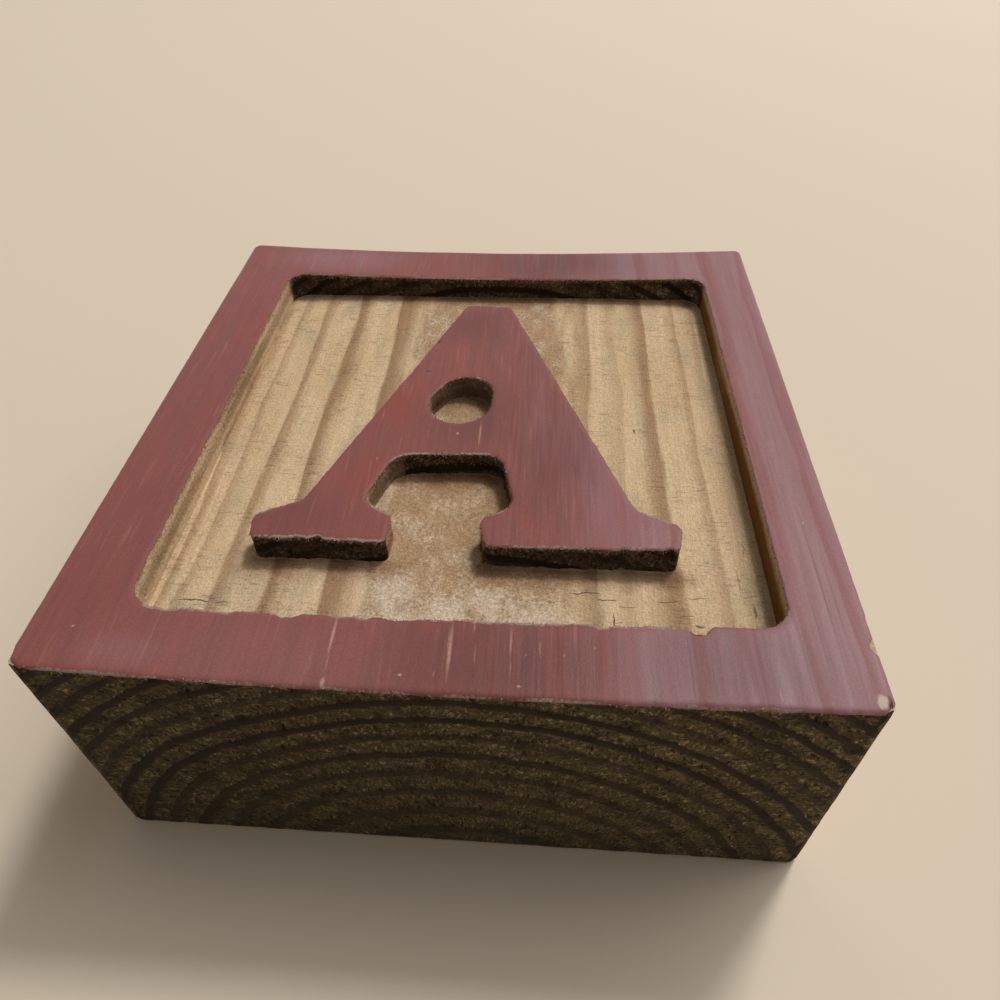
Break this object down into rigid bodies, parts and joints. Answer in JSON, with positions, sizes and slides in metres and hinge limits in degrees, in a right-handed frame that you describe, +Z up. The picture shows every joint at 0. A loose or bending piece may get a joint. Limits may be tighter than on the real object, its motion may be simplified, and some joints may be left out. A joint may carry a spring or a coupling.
{
  "type": "alphabet block",
  "caption": "Rectangular softwood toy block with a painted top face and a shallow routed pocket that leaves a raised capital A.",
  "frame": {"origin": "centre of the block's underside", "axes": "+Z up out of the painted face, +Y towards the letter's apex and along the grain, +X to the letter's right"},
  "size_m": [0.089, 0.093, 0.0382],
  "materials": {
    "wood": "bare flat-sawn softwood with dark end grain",
    "paint": "worn satin brick-red paint film"
  },
  "bodies": {
    "root": {"wood_block": "wood", "border_paint": "paint", "letter_paint": "paint"}
  },
  "joints": []
}
